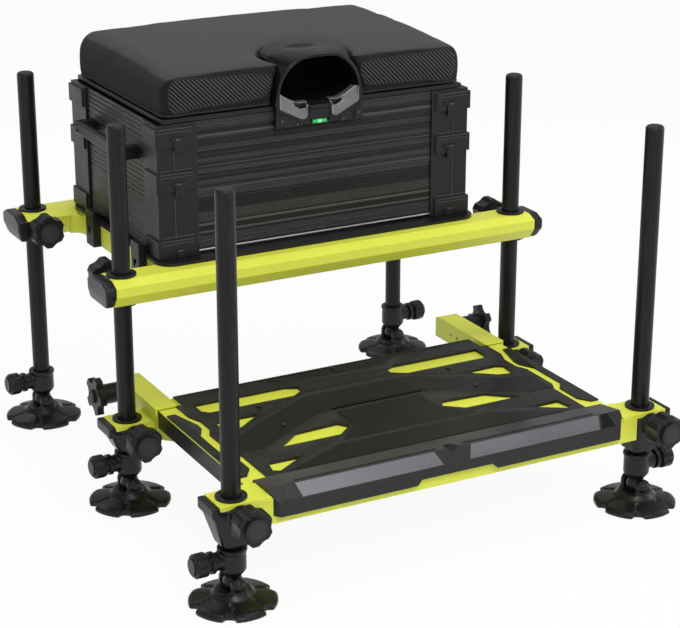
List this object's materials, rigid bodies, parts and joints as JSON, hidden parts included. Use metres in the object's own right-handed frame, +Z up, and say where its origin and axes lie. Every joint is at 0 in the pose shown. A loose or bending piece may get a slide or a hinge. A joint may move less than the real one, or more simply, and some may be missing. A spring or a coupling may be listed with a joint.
{
  "type": "fishing seat box",
  "caption": "Fishing seat box with a padded hinged lid, stacked tackle drawers, a leg frame with clamped adjustable legs and a sliding footplate.",
  "frame": {"origin": "centre of the bounding box on the ground plane, with the legs set as in the picture", "axes": "+Z up, the seat faces -Y and +X points to the right as seen from the front"},
  "size_m": [0.7378, 0.8218, 0.6065],
  "materials": {
    "lime_paint": "satin",
    "black_anodised": "satin",
    "black_plastic": "matte",
    "gloss_plastic": "gloss",
    "seat_fabric": "woven",
    "vial_green": "translucent",
    "foot_rubber": "satin"
  },
  "bodies": {
    "seat_frame": {"cross_beams": "lime_paint", "side_rails": "lime_paint", "frame_clamps": "black_plastic", "base_tray": "black_plastic", "base_unit": "black_anodised", "drawer_unit": "black_anodised", "tray_unit": "black_anodised", "unit_corners": "black_plastic", "box_latches": "black_plastic", "side_handles": "black_plastic", "lid_hinges": "black_anodised"},
    "lid": {"seat_lid": "black_plastic", "seat_cushion": "seat_fabric", "catch_bezel": "gloss_plastic", "spirit_level": "vial_green"},
    "catch": {"lid_catch": "black_plastic"},
    "lower_drawer": {"drawer_lower": "black_anodised"},
    "upper_drawer": {"drawer_upper": "black_anodised"},
    "carrier": {"sleeves": "lime_paint", "sleeve_clamps": "black_plastic"},
    "footplate": {"deck_frame": "lime_paint", "deck_cover": "black_plastic", "front_bar": "black_plastic", "footplate_rails": "black_anodised", "footplate_corners": "lime_paint", "footplate_clamps": "black_plastic"},
    "leg_front_left": {"leg_front_left": "black_anodised"},
    "foot_front_left": {"foot_socket_front_left": "black_plastic"},
    "foot_screw_front_left": {"foot_knob_front_left": "black_plastic"},
    "disc_front_left": {"foot_disc_front_left": "foot_rubber"},
    "leg_front_right": {"leg_front_right": "black_anodised"},
    "foot_front_right": {"foot_socket_front_right": "black_plastic"},
    "foot_screw_front_right": {"foot_knob_front_right": "black_plastic"},
    "disc_front_right": {"foot_disc_front_right": "foot_rubber"},
    "leg_middle_left": {"leg_middle_left": "black_anodised"},
    "foot_middle_left": {"foot_socket_middle_left": "black_plastic"},
    "foot_screw_middle_left": {"foot_knob_middle_left": "black_plastic"},
    "disc_middle_left": {"foot_disc_middle_left": "foot_rubber"},
    "leg_middle_right": {"leg_middle_right": "black_anodised"},
    "foot_middle_right": {"foot_socket_middle_right": "black_plastic"},
    "foot_screw_middle_right": {"foot_knob_middle_right": "black_plastic"},
    "disc_middle_right": {"foot_disc_middle_right": "foot_rubber"},
    "leg_rear_left": {"leg_rear_left": "black_anodised"},
    "foot_rear_left": {"foot_socket_rear_left": "black_plastic"},
    "foot_screw_rear_left": {"foot_knob_rear_left": "black_plastic"},
    "disc_rear_left": {"foot_disc_rear_left": "foot_rubber"},
    "leg_rear_right": {"leg_rear_right": "black_anodised"},
    "foot_rear_right": {"foot_socket_rear_right": "black_plastic"},
    "foot_screw_rear_right": {"foot_knob_rear_right": "black_plastic"},
    "disc_rear_right": {"foot_disc_rear_right": "foot_rubber"},
    "knob_frame_middle_left": {"knob_frame_middle_left": "black_plastic"},
    "knob_frame_rear_left": {"knob_frame_rear_left": "black_plastic"},
    "knob_sleeve_left": {"knob_sleeve_left": "black_plastic"},
    "knob_footplate_left": {"knob_footplate_left": "black_plastic"},
    "star_knob_left": {"star_knob_left": "black_plastic"},
    "knob_frame_middle_right": {"knob_frame_middle_right": "black_plastic"},
    "knob_frame_rear_right": {"knob_frame_rear_right": "black_plastic"},
    "knob_sleeve_right": {"knob_sleeve_right": "black_plastic"},
    "knob_footplate_right": {"knob_footplate_right": "black_plastic"},
    "star_knob_right": {"star_knob_right": "black_plastic"}
  },
  "joints": [
    {"name": "lid_hinge", "type": "hinge", "parent": "seat_frame", "child": "lid", "pos_m": [0, 0.3484, 0.5355], "axis": [-1, 0, 0], "range_deg": [0, 95]},
    {"name": "catch_pivot", "type": "hinge", "parent": "lid", "child": "catch", "pos_m": [0, 0.0209, 0.531], "axis": [-1, 0, 0], "range_deg": [0, 20], "stiffness_Nm_per_rad": 0.08, "springref_deg": -22.92},
    {"name": "lower_drawer_slide", "type": "slide", "parent": "seat_frame", "child": "lower_drawer", "axis": [0, -1, 0], "range_m": [0, 0.22]},
    {"name": "upper_drawer_slide", "type": "slide", "parent": "seat_frame", "child": "upper_drawer", "axis": [0, -1, 0], "range_m": [0, 0.22]},
    {"name": "carrier_height", "type": "slide", "parent": "seat_frame", "child": "carrier", "axis": [0, 0, 1], "range_m": [0, 0.12]},
    {"name": "footplate_reach", "type": "slide", "parent": "carrier", "child": "footplate", "axis": [0, -1, 0], "range_m": [0, 0.08]},
    {"name": "leg_slide_front_left", "type": "slide", "parent": "footplate", "child": "leg_front_left", "axis": [0, 0, 1], "range_m": [-0.19, 0]},
    {"name": "foot_turn_front_left", "type": "hinge", "parent": "leg_front_left", "child": "foot_front_left", "pos_m": [-0.312, -0.3366, 0.08], "axis": [0, 0, 1], "continuous": true},
    {"name": "foot_screw_turn_front_left", "type": "hinge", "parent": "foot_front_left", "child": "foot_screw_front_left", "pos_m": [-0.312, -0.3366, 0.063], "axis": [-1, 0, 0], "continuous": true},
    {"name": "foot_tilt_front_left", "type": "hinge", "parent": "foot_front_left", "child": "disc_front_left", "pos_m": [-0.312, -0.3366, 0.031], "axis": [0, 1, 0], "range_deg": [-15, 15]},
    {"name": "leg_slide_front_right", "type": "slide", "parent": "footplate", "child": "leg_front_right", "axis": [0, 0, 1], "range_m": [-0.19, 0]},
    {"name": "foot_turn_front_right", "type": "hinge", "parent": "leg_front_right", "child": "foot_front_right", "pos_m": [0.312, -0.3366, 0.08], "axis": [0, 0, 1], "continuous": true},
    {"name": "foot_screw_turn_front_right", "type": "hinge", "parent": "foot_front_right", "child": "foot_screw_front_right", "pos_m": [0.312, -0.3366, 0.063], "axis": [1, 0, 0], "continuous": true},
    {"name": "foot_tilt_front_right", "type": "hinge", "parent": "foot_front_right", "child": "disc_front_right", "pos_m": [0.312, -0.3366, 0.031], "axis": [0, 1, 0], "range_deg": [-15, 15]},
    {"name": "leg_slide_middle_left", "type": "slide", "parent": "seat_frame", "child": "leg_middle_left", "axis": [0, 0, 1], "range_m": [-0.19, 0]},
    {"name": "foot_turn_middle_left", "type": "hinge", "parent": "leg_middle_left", "child": "foot_middle_left", "pos_m": [-0.312, 0.0034, 0.08], "axis": [0, 0, 1], "continuous": true},
    {"name": "foot_screw_turn_middle_left", "type": "hinge", "parent": "foot_middle_left", "child": "foot_screw_middle_left", "pos_m": [-0.312, 0.0034, 0.063], "axis": [-1, 0, 0], "continuous": true},
    {"name": "foot_tilt_middle_left", "type": "hinge", "parent": "foot_middle_left", "child": "disc_middle_left", "pos_m": [-0.312, 0.0034, 0.031], "axis": [0, 1, 0], "range_deg": [-15, 15]},
    {"name": "leg_slide_middle_right", "type": "slide", "parent": "seat_frame", "child": "leg_middle_right", "axis": [0, 0, 1], "range_m": [-0.19, 0]},
    {"name": "foot_turn_middle_right", "type": "hinge", "parent": "leg_middle_right", "child": "foot_middle_right", "pos_m": [0.312, 0.0034, 0.08], "axis": [0, 0, 1], "continuous": true},
    {"name": "foot_screw_turn_middle_right", "type": "hinge", "parent": "foot_middle_right", "child": "foot_screw_middle_right", "pos_m": [0.312, 0.0034, 0.063], "axis": [1, 0, 0], "continuous": true},
    {"name": "foot_tilt_middle_right", "type": "hinge", "parent": "foot_middle_right", "child": "disc_middle_right", "pos_m": [0.312, 0.0034, 0.031], "axis": [0, 1, 0], "range_deg": [-15, 15]},
    {"name": "leg_slide_rear_left", "type": "slide", "parent": "seat_frame", "child": "leg_rear_left", "axis": [0, 0, 1], "range_m": [-0.19, 0.15]},
    {"name": "foot_turn_rear_left", "type": "hinge", "parent": "leg_rear_left", "child": "foot_rear_left", "pos_m": [-0.312, 0.3534, 0.08], "axis": [0, 0, 1], "continuous": true},
    {"name": "foot_screw_turn_rear_left", "type": "hinge", "parent": "foot_rear_left", "child": "foot_screw_rear_left", "pos_m": [-0.312, 0.3534, 0.063], "axis": [-1, 0, 0], "continuous": true},
    {"name": "foot_tilt_rear_left", "type": "hinge", "parent": "foot_rear_left", "child": "disc_rear_left", "pos_m": [-0.312, 0.3534, 0.031], "axis": [0, 1, 0], "range_deg": [-15, 15]},
    {"name": "leg_slide_rear_right", "type": "slide", "parent": "seat_frame", "child": "leg_rear_right", "axis": [0, 0, 1], "range_m": [-0.19, 0.15]},
    {"name": "foot_turn_rear_right", "type": "hinge", "parent": "leg_rear_right", "child": "foot_rear_right", "pos_m": [0.312, 0.3534, 0.08], "axis": [0, 0, 1], "continuous": true},
    {"name": "foot_screw_turn_rear_right", "type": "hinge", "parent": "foot_rear_right", "child": "foot_screw_rear_right", "pos_m": [0.312, 0.3534, 0.063], "axis": [1, 0, 0], "continuous": true},
    {"name": "foot_tilt_rear_right", "type": "hinge", "parent": "foot_rear_right", "child": "disc_rear_right", "pos_m": [0.312, 0.3534, 0.031], "axis": [0, 1, 0], "range_deg": [-15, 15]},
    {"name": "knob_frame_middle_left_turn", "type": "hinge", "parent": "seat_frame", "child": "knob_frame_middle_left", "pos_m": [-0.312, 0.0034, 0.319], "axis": [0, 1, 0], "continuous": true},
    {"name": "knob_frame_rear_left_turn", "type": "hinge", "parent": "seat_frame", "child": "knob_frame_rear_left", "pos_m": [-0.312, 0.3534, 0.319], "axis": [0, -1, 0], "continuous": true},
    {"name": "knob_sleeve_left_turn", "type": "hinge", "parent": "carrier", "child": "knob_sleeve_left", "pos_m": [-0.312, 0.0034, 0.111], "axis": [0, -1, 0], "continuous": true},
    {"name": "knob_footplate_left_turn", "type": "hinge", "parent": "footplate", "child": "knob_footplate_left", "pos_m": [-0.312, -0.3366, 0.132], "axis": [0, -1, 0], "continuous": true},
    {"name": "star_knob_left_turn", "type": "hinge", "parent": "carrier", "child": "star_knob_left", "pos_m": [-0.281, 0.0934, 0.13], "axis": [-1, 0, 0], "continuous": true},
    {"name": "knob_frame_middle_right_turn", "type": "hinge", "parent": "seat_frame", "child": "knob_frame_middle_right", "pos_m": [0.312, 0.0034, 0.319], "axis": [0, 1, 0], "continuous": true},
    {"name": "knob_frame_rear_right_turn", "type": "hinge", "parent": "seat_frame", "child": "knob_frame_rear_right", "pos_m": [0.312, 0.3534, 0.319], "axis": [0, -1, 0], "continuous": true},
    {"name": "knob_sleeve_right_turn", "type": "hinge", "parent": "carrier", "child": "knob_sleeve_right", "pos_m": [0.312, 0.0034, 0.111], "axis": [0, -1, 0], "continuous": true},
    {"name": "knob_footplate_right_turn", "type": "hinge", "parent": "footplate", "child": "knob_footplate_right", "pos_m": [0.312, -0.3366, 0.132], "axis": [0, -1, 0], "continuous": true},
    {"name": "star_knob_right_turn", "type": "hinge", "parent": "carrier", "child": "star_knob_right", "pos_m": [0.281, 0.0934, 0.13], "axis": [1, 0, 0], "continuous": true}
  ]
}
